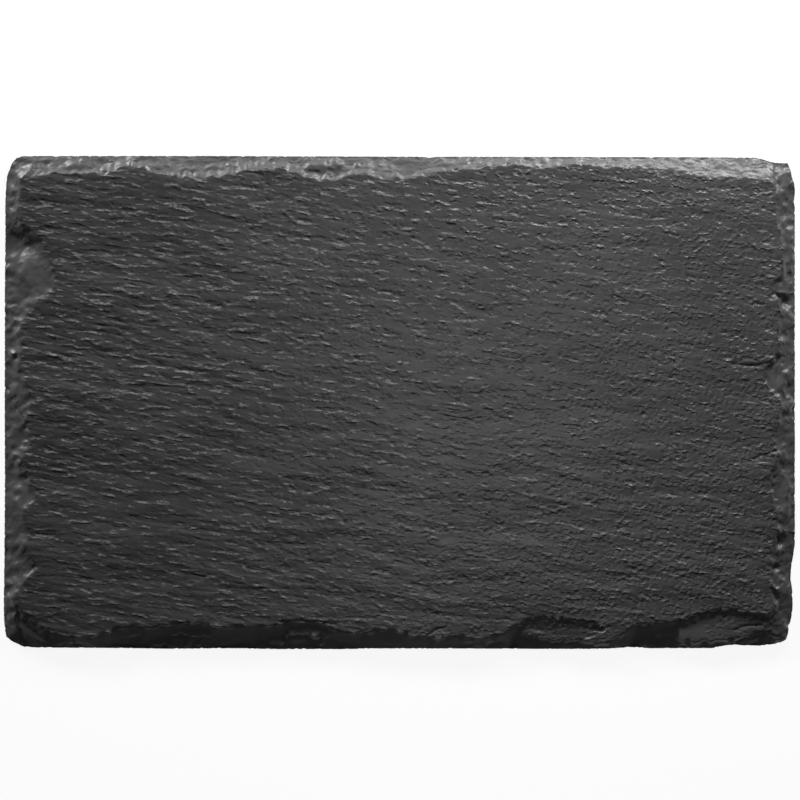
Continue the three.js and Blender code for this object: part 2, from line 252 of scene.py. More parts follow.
def streakRelief():
    tilt = face["streakTilt"]
    seed, wavelength, length, spread = face["patches"]
    patches = riven(seed, wavelength, length, spread, tilt)
    total = np.zeros((rows, columns))
    for seed, wavelength, length, spread, height, lean, unevenness in face["streaks"]:
        streak = leaned(riven(seed, wavelength, length, spread, tilt), wavelength, lean)
        total += height * streak * np.exp(unevenness * patches)
    seed, size, height = face["lumps"]
    total += height * clouds(seed, size)
    seed, size, strength = face["strength"]
    uneven = np.exp(strength * clouds(seed, size))
    low, high, strong, weak = face["weakening"]
    slant = face["weaker"][0] * mapX + face["weaker"][1] * mapY
    uneven *= strong + (weak - strong) * ease(low, high, slant)
    total = face["deepest"] * np.tanh(total * uneven / face["deepest"])
    seed, size, reach = face["wander"]
    return readMap(total, mapX, mapY + reach * clouds(seed, size))


faceRelief = streakRelief()
tell("riven face")

# The broken edges

edges = {
    # seed, size and reach of the ragged outlines, twice
    "shift": ((31, 7.0, 0.42), (32, 2.6, 0.10)),
    "seedApart": 100,      # between the sideways and the lengthwise shift
    "rounding": 0.35,      # how far the block's own facets are rounded over
    "sheet": 0.72,         # thickness of one layer
    "sheetWarp": (33, 16, 0.35),    # seed, size, reach
    "riser": 0.2,          # half the share of a layer taken by its riser
    "layered": 0.35,       # how far the slope breaks into layers
    # lumps of broken stone: seed, largest, smallest, falloff, height
    "crumble": (34, 7.0, 1.3, 1.8, 0.07),
    "sharpLumps": (35, 5.0, 1.1, 1.5, 0.05),
    "sharpMiddle": 0.8,    # the sharp lumps are folded upwards up to here
    "mostOver": 0.35,      # the relief may stand this far over the block
    # from the edge: smoother up to, as rough as elsewhere from, by how much
    "smoothFront": (9, 20, 0.92),
    "smoothLeft": (9, 16, 0.65),
    # lip height, degrees, then seed, size and reach of the waver
    "frontBevel": (2.7, 32, 38, 11, 0.4),
    "bevelStart": 3,       # from the edge, the waver grows up to here
    # straighter slopes at the back (1) and the front (-1): degrees, height at the face,
    # share, largest change, and the start, the whole and the end along the slab
    "straight": (
        (1, 19, 5.6, 0.85, 3.0, -60, 60, 300),
        (-1, 31, 5.6, 0.9, 3.0, -200, -190, 63),
        (-1, 31, 5.6, 0.9, 3.0, 103, 107, 141),
    ),
    "straightStart": 0.8,          # beyond the face, whole from here
    "straightEnd": 5,              # along the slab, fades over this length
    "straightCorner": (4, 12),     # from a corner, none up to and whole from
    "straightDepth": (16, 20),     # from the edge, whole up to and none from
    "faceLineBlur": 23,            # cells
    # lower pieces: middle, half sizes, share that is whole, height and tilt
    "shelves": (
        (282.0, 10.0, 20.5, 6.0, 0.75, 4.35, 0.05),
    ),
    # middles and half sizes of lower places that keep the grain of the face
    "grained": ((282.0, 10.0, 20.5, 6.0, 0.75), (373.0, 11.5, 20.0, 6.5, 0.75)),
    "shelfEdge": (40, 5.0, 0.16),  # seed, size, reach of the waver
    "shelfEnd": 1.1,               # where a shelf is over, 1 is its ellipse
    # the stone falls away in front of a line: degrees, deepest, reach, degrees back up,
    # and the line itself
    "falls": (
        (22, 2.4, 60, 30, ((7.0, 23), (9.6, 19), (21.2, 10.5), (36.3, 6.6), (48, 5.5))),
    ),
    "fallWaver": 2,        # times the waver of a shelf
    "fallEnd": 0.7,        # rise beyond the ends of the line
    # the face bends down with the block from this far under its own level
    "rimLevel": 0.12,
    "softRim": (0.9, 14, 22),       # radius; from the back edge, soft up to and crisp from
    "softLeft": (14, 24, 0.6),      # from the left edge, soft up to and crisp from, share
    # worn places: middle from the front left corner, half sizes, radius of the wear
    "worn": (
        (18.0, 190.0, 15, 26, 2.0),
        (4.0, 125.0, 13, 135, 1.7),
        (397.0, 125.0, 8, 135, 0.6),
        (161.0, 240.3, 13, 5, 1.1),
        (368.0, 243.5, 22, 5, 1.0),
    ),
}

# Single marks, from the front left corner
marks = {
    "ragged": (36, 2.2, 0.16),      # seed, size, reach
    "lineReach": 4,                 # half widths
    # depth, half width, points; a negative depth is a ridge
    "lines": (
        (0.40, 0.5, ((213.5, 6.5), (218.5, 10.0), (223.6, 11.5))),
        (0.40, 0.6, ((369.9, 10.0), (373.0, 11.5), (383.1, 12.5))),
        (0.45, 0.6, (
            (367.9, 144.2), (374.5, 143.2), (381.0, 143.7),
            (388.1, 145.3), (391.1, 148.3), (394.2, 148.3),
        )),
        (0.40, 0.5, ((378.0, 95.8), (382.1, 97.8), (387.1, 99.3), (390.6, 100.3))),
        (0.20, 0.4, ((12.6, 60.5), (14.1, 57.9), (23.7, 57.9))),
        (0.30, 0.5, ((8.1, 53.9), (9.6, 50.4), (12.1, 47.8), (14.1, 44.8), (16.7, 41.8))),
        (0.25, 0.7, ((9.6, 19.0), (21.2, 10.5), (36.3, 6.6))),
        (0.30, 0.5, ((2.0, 26.1), (4.5, 22.6), (7.1, 19.6), (8.6, 17.1))),
        (0.40, 0.5, ((2.0, 131.6), (5.0, 126.1), (8.1, 119.5), (11.6, 113.5), (13.1, 109.9))),
        (0.40, 0.5, (
            (5.6, 97.8), (9.6, 94.8), (10.6, 90.7), (12.6, 86.7), (16.7, 80.7), (19.2, 78.1),
        )),
        (0.35, 0.6, ((280.1, 13.5), (287.2, 12.5), (296.3, 10.5), (301.3, 10.0))),
        (0.35, 0.6, ((139.8, 14.0), (147.9, 14.5), (160.0, 14.0), (168.1, 12.5))),
        (0.22, 0.6, ((18.7, 240.6), (38.9, 238.1))),
        (0.22, 0.6, ((40.9, 236.6), (52.0, 236.1), (67.1, 232.6))),
        (-0.15, 0.5, ((240.7, 215.9), (258.4, 211.9))),
        (-0.15, 0.5, ((246.8, 242.2), (256.9, 239.6))),
        (-0.15, 0.5, ((258.9, 237.6), (262.9, 236.1))),
        (-0.25, 0.5, ((74.2, 245.2), (83.3, 240.6))),
        (-0.30, 0.5, ((386.1, 36.7), (388.1, 32.2), (391.1, 29.7), (394.2, 28.7))),
        (-0.30, 0.4, ((394.2, 60.0), (399.7, 59.5))),
        (-0.30, 0.4, ((391.6, 49.9), (396.2, 49.9))),
        (-0.35, 0.5, ((392.2, 180.1), (399.7, 180.1))),
        (-0.35, 0.5, ((0.5, 215.4), (4.5, 211.9), (8.6, 208.3), (12.1, 205.8))),
    ),
    # middle, half sizes, depth; a negative depth is a bump
    "hollows": (
        (385.6, 13.0, 1.2, 1.0, -0.35),
        (388.1, 16.0, 1.3, 1.1, 0.6),
        (391.1, 41.3, 1.0, 1.0, 0.6),
        (393.2, 33.7, 1.0, 1.0, 0.6),
        (392.2, 53.9, 2.4, 1.6, 0.7),
        (396.2, 175.5, 2.6, 2.8, 0.8),
        (4.5, 209.0, 4.0, 4.0, 0.55),
        (11.5, 203.0, 8.5, 6.5, 1.7),
        (208.0, 243.0, 8.0, 3.5, 0.35),
    ),
    # middles of the small nubs along the left edge, then their half size and height
    "nubs": (
        (5.6, 218.9), (9.1, 214.9), (5.0, 178.1), (5.6, 173.5), (10.1, 133.6), (5.6, 125.1),
        (7.6, 123.5), (3.5, 103.4), (9.1, 95.3), (7.1, 77.1), (10.1, 40.8),
    ),
    "nubSize": (0.8, 0.22),
}


def raggedBlock():
    # the block's outlines, rounded a little and made ragged near the edges
    shiftX = np.zeros((rows, columns))
    shiftY = np.zeros((rows, columns))
    for seed, size, reach in edges["shift"]:
        shiftX += reach * clouds(seed, size)
        shiftY += reach * clouds(seed + edges["seedApart"], size)
    height = softened(cadHeight, edges["rounding"])
    for x, y, sizeX, sizeY, radius in edges["worn"]:
        place = np.exp(-nearSpot(x, y, sizeX, sizeY) ** 2)
        height += place * (softened(cadHeight, radius) - height)
    height = readMap(height, mapX + shiftX, mapY + shiftY)
    for side, degrees, top, share, gap, start, whole, until in edges["straight"]:
        beyond = fromFaceLine(height, side)
        change = top - beyond * math.tan(math.radians(degrees)) - height
        part = share * ease(0, edges["straightStart"], beyond) * insideStone
        part *= np.exp(-(change / gap) ** 2) * ease(start, whole, mapX)
        part *= 1 - ease(until - edges["straightEnd"], until, mapX)
        part *= ease(*edges["straightCorner"], halfLength - np.abs(mapX))
        part *= 1 - ease(*edges["straightDepth"], halfWidth - side * mapY)
        height = height + part * change
    for x, y, sizeX, sizeY, whole, level, tilt in edges["shelves"]:
        plane = level + tilt * (mapY + halfWidth - y)
        height += shelfPlace(x, y, sizeX, sizeY, whole) * (plane - height)
    for fall in edges["falls"]:
        height = np.minimum(height, belowFall(*fall))
    stone = insideStone.any(axis=0)
    front = mapFront + np.argmax(insideStone, axis=0) * block["cell"]
    return np.minimum(height, frontBevel(mapY - np.where(stone, front, 0)))


def fromFaceLine(height, side):
    # how far a place lies beyond the face, towards the back (1) or the front (-1)
    onFace = height >= block["faceFrom"]
    if side > 0:
        faceRow = rows - 1 - np.argmax(onFace[::-1], axis=0)
    else:
        faceRow = np.argmax(onFace, axis=0)
    faceLine = mapFront + faceRow * block["cell"]
    blur = edges["faceLineBlur"]
    return side * (mapY - np.convolve(faceLine, np.ones(blur) / blur, mode="same"))


def shelfPlace(x, y, sizeX, sizeY, whole):
    # 1 on a lower piece, 0 beside it
    seed, size, reach = edges["shelfEdge"]
    ragged = nearSpot(x, y, sizeX, sizeY) + reach * clouds(seed, size)
    return 1 - ease(whole, edges["shelfEnd"], ragged)


def belowFall(degrees, deepest, reach, degreesBack, points):
    # the height that the stone may have in front of a line
    lineX = np.array([x for x, y in points]) - halfLength
    lineY = np.array([y for x, y in points]) - halfWidth
    seed, size, waver = edges["shelfEdge"]
    ragged = edges["fallWaver"] * waver * clouds(seed, size)
    before = np.interp(mapX, lineX, lineY) + ragged - mapY
    outside = np.maximum(lineX[0] - mapX, 0) + np.maximum(mapX - lineX[-1], 0)
    fall = np.minimum(before * math.tan(math.radians(degrees)), deepest)
    fall = np.minimum(fall, (reach - before) * math.tan(math.radians(degreesBack)))
    return block["faceLevel"] - fall + edges["fallEnd"] * outside


def frontBevel(fromEdge):
    # a plane rising from the front edge, with a wavering start
    lip, degrees, seed, size, reach = edges["frontBevel"]
    waver = reach * clouds(seed, size) * ease(0, edges["bevelStart"], fromEdge)
    return lip + (fromEdge + waver) * math.tan(math.radians(degrees))


def smoothEdge():
    # 1 on the common broken stone, less at the front and the left
    near, far, smoother = edges["smoothFront"]
    rough = 1 - smoother * (1 - ease(near, far, mapY + halfWidth))
    near, far, smoother = edges["smoothLeft"]
    return np.minimum(rough, 1 - smoother * (1 - ease(near, far, mapX + halfLength)))


def nearSpot(x, y, sizeX, sizeY):
    # 0 in the middle of an ellipse, 1 on its edge
    return ((mapX + halfLength - x) / sizeX) ** 2 + ((mapY + halfWidth - y) / sizeY) ** 2


def layeredSlope(height):
    # the slope broken into the slate's layers
    seed, size, reach = edges["sheetWarp"]
    warp = reach * clouds(seed, size)
    level = (height + warp) / edges["sheet"]
    whole = np.floor(level)
    step = ease(0.5 - edges["riser"], 0.5 + edges["riser"], level - whole)
    layered = (whole + step) * edges["sheet"] - warp
    return height + edges["layered"] * smoothEdge() * (layered - height)


def brokenRelief():
    seed, largest, smallest, falloff, height = edges["crumble"]
    total = height * crumble(seed, largest, smallest, falloff)
    seed, largest, smallest, falloff, height = edges["sharpLumps"]
    sharp = edges["sharpMiddle"] - np.abs(crumble(seed, largest, smallest, falloff))
    total += height * sharp
    return total * smoothEdge()


def facePlace(height):
    # 1 on the riven face, 0 on broken stone, with a gradual change at the back and the left
    crisp = ease(block["faceFrom"], block["faceTo"], height)
    radius, near, far = edges["softRim"]
    soft = 1 - ease(near, far, halfWidth - mapY)
    near, far, share = edges["softLeft"]
    soft = np.maximum(soft, share * (1 - ease(near, far, mapX + halfLength)))
    return crisp + soft * (softened(crisp, radius) - crisp)


def fromLine(points, reach):
    # the part of the map near a line, and the distances from the line there
    lineX = np.array([x for x, y in points]) - halfLength
    lineY = np.array([y for x, y in points]) - halfWidth
    near = (mapX[0] > lineX.min() - reach) & (mapX[0] < lineX.max() + reach)
    beside = (mapY[:, 0] > lineY.min() - reach) & (mapY[:, 0] < lineY.max() + reach)
    part = np.ix_(beside, near)
    distance = np.full(mapX[part].shape, np.inf)
    for i in range(len(points) - 1):
        alongX = lineX[i + 1] - lineX[i]
        alongY = lineY[i + 1] - lineY[i]
        gapX = mapX[part] - lineX[i]
        gapY = mapY[part] - lineY[i]
        t = np.clip((gapX * alongX + gapY * alongY) / (alongX ** 2 + alongY ** 2), 0, 1)
        distance = np.minimum(distance, np.hypot(gapX - t * alongX, gapY - t * alongY))
    return part, distance


def singleMarks():
    total = np.zeros((rows, columns))
    seed, size, reach = marks["ragged"]
    waver = reach * clouds(seed, size)
    for depth, halfSize, points in marks["lines"]:
        part, distance = fromLine(points, marks["lineReach"] * halfSize)
        total[part] -= depth * np.exp(-((distance + waver[part]) / halfSize) ** 2)
    for x, y, sizeX, sizeY, depth in marks["hollows"]:
        total -= depth * np.exp(-nearSpot(x, y, sizeX, sizeY))
    size, height = marks["nubSize"]
    for x, y in marks["nubs"]:
        part, distance = fromLine(((x, y), (x + size, y)), marks["lineReach"] * size)
        total[part] += height * np.exp(-(distance / size) ** 2)
    return total


ragged = raggedBlock()
facePart = facePlace(ragged)
shelfPart = np.zeros((rows, columns))
for place in edges["grained"]:
    shelfPart = np.maximum(shelfPart, shelfPlace(*place))
slope = layeredSlope(ragged) + brokenRelief() * (1 - shelfPart) + shelfPart * faceRelief
slope = np.minimum(slope, ragged + edges["mostOver"])
swells = swellHeight(mapX, mapY)
rimDrop = np.maximum(swells - edges["rimLevel"] - ragged, 0)
stoneTop = facePart * (swells + faceRelief - rimDrop) + (1 - facePart) * slope
stoneTop = np.minimum(stoneTop + singleMarks(), topLevel)
tell("broken edges")

# The mesh

cut = {
    "edgeZone": 14.0,      # width of the finely cut band
    "edgeStep": 0.36,
    "stepX": 0.85,
    "stepY": 0.46,
    "hub": 26.0,           # the outline is looked for from this far inside
    "farthest": 60.0,      # up to here
    "nearest": 0.01,       # and found to this
    "normalSpan": 4,       # points along the outline
    "ragged": (41, 5.0, 0.8, 0.7, 0.16),    # seed, largest, smallest, falloff, reach
    "mostNibble": 0.6,
    "lipInset": 0.2,       # the lip's height is read this far inside
    "leastLip": 0.5,
    "wallRows": 4,
    "wallLumps": (43, 5.0, 0.6, 0.8, 0.16),
    "wallDrift": (9.0, 7.0),    # each row of the side reads its lumps this much farther on
    "wallInset": (0.1, 0.02),   # common and least, above the foot
    "footInset": 0.32,
    "footSmoothing": 6,    # rounds
    "undersideStep": 4.2,  # between the points of the underside
    "undersideShake": (44, 0.3),    # seed, share of a step
    "undersideClear": 2,   # from the outline to the points
    "undersideStreaks": (45, 24, 20, 0.8),  # seed, wavelength, length, spread
    "undersideHollows": (0.2, 1.4),     # streaks from and to
    "undersideRelief": 0.3,
    "mostFaces": 194000,
    "sharpFrom": 42,       # degrees
}


def outlineFrom(x, y, dx, dy):
    # last covered point from x, y in a direction
    low, high = 0.0, cut["farthest"]
    while high - low > cut["nearest"]:
        middle = (low + high) / 2
        if heightBelow(x + dx * middle, y + dy * middle) is None:
            high = middle
        else:
            low = middle
    return x + dx * low, y + dy * low


def sharesAlong(length, step):
    # places along a side, fine near both ends and wider between them
    zone = cut["edgeZone"]
    fine = int(round(zone / cut["edgeStep"]))
    wide = int(round((length - 2 * zone) / step))
    places = np.concatenate((
        np.linspace(0, zone, fine, endpoint=False),
        np.linspace(zone, length - zone, wide, endpoint=False),
        np.linspace(length - zone, length, fine + 1),
    ))
    return places / length


def outlineSides(lengthwise, crosswise):
    corners = {}
    inX = halfLength - cut["hub"]
    inY = halfWidth - cut["hub"]
    slanted = math.sqrt(0.5)
    for name, toX, toY in (
        ("frontLeft", -1, -1), ("frontRight", 1, -1), ("backLeft", -1, 1), ("backRight", 1, 1),
    ):
        corners[name] = outlineFrom(toX * inX, toY * inY, toX * slanted, toY * slanted)

    def run(start, end, axis, shares):
        first, last = corners[start], corners[end]
        points = []
        for value in first[axis] + shares * (last[axis] - first[axis]):
            if axis == 0:
                side = -1 if first[1] < 0 else 1
                points.append(outlineFrom(value, side * inY, 0, side))
            else:
                side = -1 if first[0] < 0 else 1
                points.append(outlineFrom(side * inX, value, side, 0))
        points[0], points[-1] = first, last
        return np.array(points)

    return (
        run("frontLeft", "frontRight", 0, lengthwise),
        run("backLeft", "backRight", 0, lengthwise),
        run("frontLeft", "backLeft", 1, crosswise),
        run("frontRight", "backRight", 1, crosswise),
    )


def topGrid(lengthwise, crosswise):
    # a net of points over the whole outline, from its four sides
    front, back, left, right = outlineSides(lengthwise, crosswise)
    u = lengthwise[None, :, None]
    v = crosswise[:, None, None]
    grid = (1 - v) * front[None] + v * back[None] + (1 - u) * left[:, None] + u * right[:, None]
    grid -= (1 - u) * (1 - v) * front[0] + u * (1 - v) * front[-1]
    grid -= (1 - u) * v * back[0] + u * v * back[-1]
    return grid


def roundLoop(grid):
    # the grid's border as one loop, anticlockwise from the front left
    high, wide = grid.shape[:2]
    index = np.arange(high * wide).reshape(high, wide)
    return np.concatenate((index[0, :-1], index[:-1, -1], index[-1, :0:-1], index[:0:-1, 0]))


def loopNormals(points):
    # unit lengths from each point of the outline to the inside
    span = cut["normalSpan"]
    along = np.roll(points, -span, axis=0) - np.roll(points, span, axis=0)
    inward = np.stack((-along[:, 1], along[:, 0]), axis=1)
    return inward / np.linalg.norm(inward, axis=1)[:, None]


def quadFaces(a, b, c, d):
    return np.concatenate((np.stack((a, b, c), 1), np.stack((a, c, d), 1)))


def cutStone():
    seed, largest, smallest, falloff, reach = cut["ragged"]
    nibble = np.maximum(crumble(seed, largest, smallest, falloff), 0) * reach
    lengthwise = sharesAlong(2 * halfLength, cut["stepX"])
    crosswise = sharesAlong(2 * halfWidth, cut["stepY"])
    grid = topGrid(lengthwise, crosswise)
    high, wide = grid.shape[:2]
    flat = grid.reshape(-1, 2)
    loop = roundLoop(grid)
    inward = loopNormals(flat[loop])
    bite = np.minimum(readMap(nibble, flat[loop, 0], flat[loop, 1]), cut["mostNibble"])
    flat[loop] += inward * bite[:, None]
    heights = readMap(stoneTop, flat[:, 0], flat[:, 1])
    inside = flat[loop] + inward * cut["lipInset"]
    heights[loop] = np.maximum(readMap(stoneTop, *inside.T), cut["leastLip"])
    points = [np.column_stack((flat, heights))]
    index = np.arange(high * wide).reshape(high, wide)
    faces = [quadFaces(
        index[:-1, :-1].ravel(), index[:-1, 1:].ravel(),
        index[1:, 1:].ravel(), index[1:, :-1].ravel(),
    )]
    # the sides, down to a foot that stands a little in
    seed, largest, smallest, falloff, reach = cut["wallLumps"]
    lumps = crumble(seed, largest, smallest, falloff) * reach
    driftX, driftY = cut["wallDrift"]
    common, least = cut["wallInset"]
    above = loop
    count = len(loop)
    startIndex = high * wide
    border = flat[loop]
    lip = heights[loop]
    smooth = border.copy()
    for _ in range(cut["footSmoothing"]):
        smooth = (np.roll(smooth, 1, axis=0) + smooth * 2 + np.roll(smooth, -1, axis=0)) / 4
    for row in range(1, cut["wallRows"] + 1):
        share = row / cut["wallRows"]
        offset = cut["footInset"] * share ** 2
        if row < cut["wallRows"]:
            shake = readMap(lumps, border[:, 0] + row * driftX, border[:, 1] + row * driftY)
            offset = np.maximum(offset + common + shake, least)
        base = border * (1 - share) + smooth * share
        ring = base + inward * (np.zeros(count) + offset)[:, None]
        points.append(np.column_stack((ring, lip * (1 - share))))
        below = startIndex + np.arange(count)
        faces.append(quadFaces(above, below, np.roll(below, -1), np.roll(above, -1)))
        above = below
        startIndex += count
    underPoints, underFaces = underside(points[-1][:, :2], above, startIndex)
    points.append(underPoints)
    faces.append(underFaces)
    return np.concatenate(points), np.concatenate(faces)


def underside(foot, footIndex, startIndex):
    # the face that it stands on: split stone too, with low hollows
    step = cut["undersideStep"]
    seed, share = cut["undersideShake"]
    dice = np.random.default_rng(seed)
    xs = np.arange(-halfLength + step, halfLength - step / 2, step)
    ys = np.arange(-halfWidth + step, halfWidth - step / 2, step)
    inner = np.array([(x, y) for y in ys for x in xs])
    inner += dice.uniform(-share, share, inner.shape) * step
    clear = cut["undersideClear"]
    around = ((clear, 0), (-clear, 0), (0, clear), (0, -clear))
    kept = np.array([
        all(heightBelow(x + offX, y + offY) is not None for offX, offY in around)
        for x, y in inner
    ])
    inner = inner[kept]
    flatPoints = [Vector((x, y)) for x, y in foot] + [Vector((x, y)) for x, y in inner]
    border = list(range(len(foot)))
    # 1 keeps the triangles inside the border
    result = delaunay_2d_cdt(flatPoints, [], [border], 1, 1e-5)
    coords, origins, triangles = result[0], result[3], result[2]
    streaks = riven(*cut["undersideStreaks"], block["grainTilt"])
    hollow = cut["undersideRelief"] * ease(*cut["undersideHollows"], streaks)
    target = []
    extra = []
    for coord, origin in zip(coords, origins):
        if origin and origin[0] < len(foot):
            target.append(footIndex[origin[0]])
        else:
            target.append(startIndex + len(extra))
            extra.append((coord.x, coord.y))
    extra = np.array(extra)
    target = np.array(target)
    lift = readMap(hollow, extra[:, 0], extra[:, 1])
    faces = np.array([[target[i] for i in triangle] for triangle in triangles])
    # turned to look down
    return np.column_stack((extra, lift)), faces[:, ::-1]


stonePoints, stoneFaces = cutStone()
tell(f"cut the stone, {len(stoneFaces)} triangles")


def placeStone(points, faces):
    mesh = bpy.data.meshes.new("slateSlab")
    mesh.from_pydata(points * mm, [], faces)
    mesh.validate()
    stone = bpy.data.objects.new("slateSlab", mesh)
    bpy.context.scene.collection.objects.link(stone)
    if len(mesh.polygons) > cut["mostFaces"]:
        thin = stone.modifiers.new("thin", "DECIMATE")
        thin.ratio = cut["mostFaces"] / len(mesh.polygons)
        graph = bpy.context.evaluated_depsgraph_get()
        lighter = bpy.data.meshes.new_from_object(stone.evaluated_get(graph))
        stone.modifiers.clear()
        stone.data = lighter
        bpy.data.meshes.remove(mesh)
        lighter.name = "slateSlab"
    return stone


stone = placeStone(stonePoints, stoneFaces)
mesh = stone.data


def readVertices(mesh):
    values = np.empty(len(mesh.vertices) * 3)
    mesh.vertices.foreach_get("co", values)
    return values.reshape(-1, 3) / mm


points = readVertices(mesh)
points = np.clip(points, (-halfLength, -halfWidth, 0), (halfLength, halfWidth, topLevel))
mesh.vertices.foreach_set("co", (points * mm).ravel())
mesh.update()
tell(f"thinned to {len(mesh.polygons)} triangles")


def addMask(name, values):
    mask = mesh.attributes.new(name, "FLOAT", "POINT")
    mask.data.foreach_set("value", values.astype(np.float32))


# Where the finish is pale or rough, and where the ridge tops get painted highlight
masks = {
    "topFrom": 0.6,        # the riven face's relief counts from this height
    "brokenFrom": 0.35,    # broken stone from this height, split stone under it
    "shelfFace": 0.75,     # how far a grained shelf counts as face
    "reliefSpan": 0.4,     # relief from the lowest to the highest ridge
}

likeFace = np.maximum(facePart, masks["shelfFace"] * shelfPart)
brokenMask = 1 - readMap(likeFace, points[:, 0], points[:, 1])
brokenMask = np.where(points[:, 2] < masks["brokenFrom"], 0.0, brokenMask)
relief = readMap(faceRelief, points[:, 0], points[:, 1])
ridgeMask = np.clip(0.5 + relief / masks["reliefSpan"], 0, 1)
ridgeMask = np.where(points[:, 2] > masks["topFrom"], ridgeMask, 0.5)
addMask("broken", brokenMask)
addMask("ridge", ridgeMask)

mesh.shade_smooth()
mesh.set_sharp_from_angle(angle=math.radians(cut["sharpFrom"]))

# Where the parts of the surface lie on the map, as shares of its width
layout = {
    "undersideTo": 0.36,       # millimetres, highest middle of an underside triangle
    "facesDown": -0.5,         # an underside triangle looks lower than this
    "facesAside": 0.02,        # and one of the four sides lower than this
    "undersideScale": 0.58,
    "sideStart": 0.59,
    "sideLength": 0.4,
    "firstStrip": 0.01,
    "stripApart": 0.09,
    "stripHeight": 0.07,
}


def layOutMap():
    # top, underside and the four sides beside each other, none over another
    normals = np.empty(len(mesh.polygons) * 3)
    mesh.polygons.foreach_get("normal", normals)
    normals = normals.reshape(-1, 3)
    corners = np.empty(len(mesh.loops), dtype=int)
    mesh.loops.foreach_get("vertex_index", corners)
    corners = corners.reshape(-1, 3)
    place = points[corners]
    x = (place[:, :, 0] + halfLength) / (2 * halfLength)
    y = (place[:, :, 1] + halfWidth) / (2 * halfLength)
    z = place[:, :, 2] / topLevel
    u = x.copy()
    v = 1 - halfWidth / halfLength + y
    low = place[:, :, 2].mean(axis=1) < layout["undersideTo"]
    under = (normals[:, 2] < layout["facesDown"]) & low
    u[under] = layout["undersideScale"] * x[under]
    v[under] = layout["undersideScale"] * y[under]
    side = (normals[:, 2] < layout["facesAside"]) & ~under
    lengthwise = side & (np.abs(normals[:, 1]) >= np.abs(normals[:, 0]))
    crosswise = side & ~lengthwise
    strips = (
        (lengthwise & (normals[:, 1] < 0), x), (lengthwise & (normals[:, 1] >= 0), x),
        (crosswise & (normals[:, 0] < 0), y), (crosswise & (normals[:, 0] >= 0), y),
    )
    for strip, (chosen, along) in enumerate(strips):
        u[chosen] = layout["sideStart"] + layout["sideLength"] * along[chosen]
        base = layout["firstStrip"] + layout["stripApart"] * strip
        v[chosen] = base + layout["stripHeight"] * z[chosen]
    bakeMap = mesh.uv_layers.new(name="OFBake")
    bakeMap.data.foreach_set("uv", np.stack((u, v), axis=2).ravel())


layOutMap()
tell("masks and map")

# The slate's finish

slate = {
    "grey": (0.040, 0.040, 0.041),
    "lightGrey": (0.062, 0.062, 0.063),
    "darkGrey": (0.024, 0.024, 0.025),
    "brokenGrey": (0.077, 0.077, 0.078),
    # the flecks, and the painted highlight on the sides of the streaks that face the light
    "fleckAndHighlight": (0.16, 0.16, 0.16),
    "specular": 0.5,
    "smooth": 0.37,        # lowest and highest roughness
    "rough": 0.50,
    "bumpTilt": 6.5,       # degrees
    "patchTilt": 12.0,
    "brokenCalm": 0.92,    # how far the fine streaks fade on broken stone
    # across, along, detail, roughness, lean, depth at the left, depth at the right
    "relief": {
        "streaks": (2.45, 7.0, 1, 0.4, 0.65, 0.47, 0.24),
        "scales": (2.0, 2.4, 1, 0.4, 0.75, 0.18, 0.74),
        "grit": (0.55, 0.6, 2, 0.6, 0.0, 0.032, 0.016),
    },
    "leftRight": (-110, 150),      # the grain and the painted light change between these
    "paintedLightToRight": 0.26,     # painted light, growing towards the right: how far the colour pales there
    "patchStrength": (0.16, 2.2),  # of the streaks, outside and inside their patches
    # from the back left, where the streaks are strongest, to the front right
    "strongest": (-70, 0, 1.1, 0.76),
    "highlightOffset": 0.35,      # part of a streak's width: how far back the height is read again, for the painted highlight on the sides that face the light
    # painted highlight on the sides of the streaks that face the light: drop where it begins
    # and where it is whole, how pale
    "lightFacingHighlight": (0.019, 0.06, 0.85),
    # noises: across, along, detail, roughness, from and to
    "patches": (2.75, 8.5, 2, 0.5, 0.38, 0.64),
    "bits": (1.05, 1.9, 2, 0.55, 0.4, 0.57),
    "streakColour": (1.6, 8.0, 5, 0.62, 0.36, 0.66),
    "cloudColour": (26, 60, 3, 0.5, 0.38, 0.64),
    "fleckColour": (0.5, 1.4, 4, 0.7, 0.70, 0.80),
    "sheen": (3.0, 7.0, 4, 0.6, 0.35, 0.65),
    # how far each turns the colour
    "cloudPale": 0.5,
    "fleckPale": 0.35,
    "brokenPale": 0.75,
    "ridgeHighlight": (0.45, 0.9, 0.6),     # painted highlight on the ridge tops: mask from and to, then how far
}


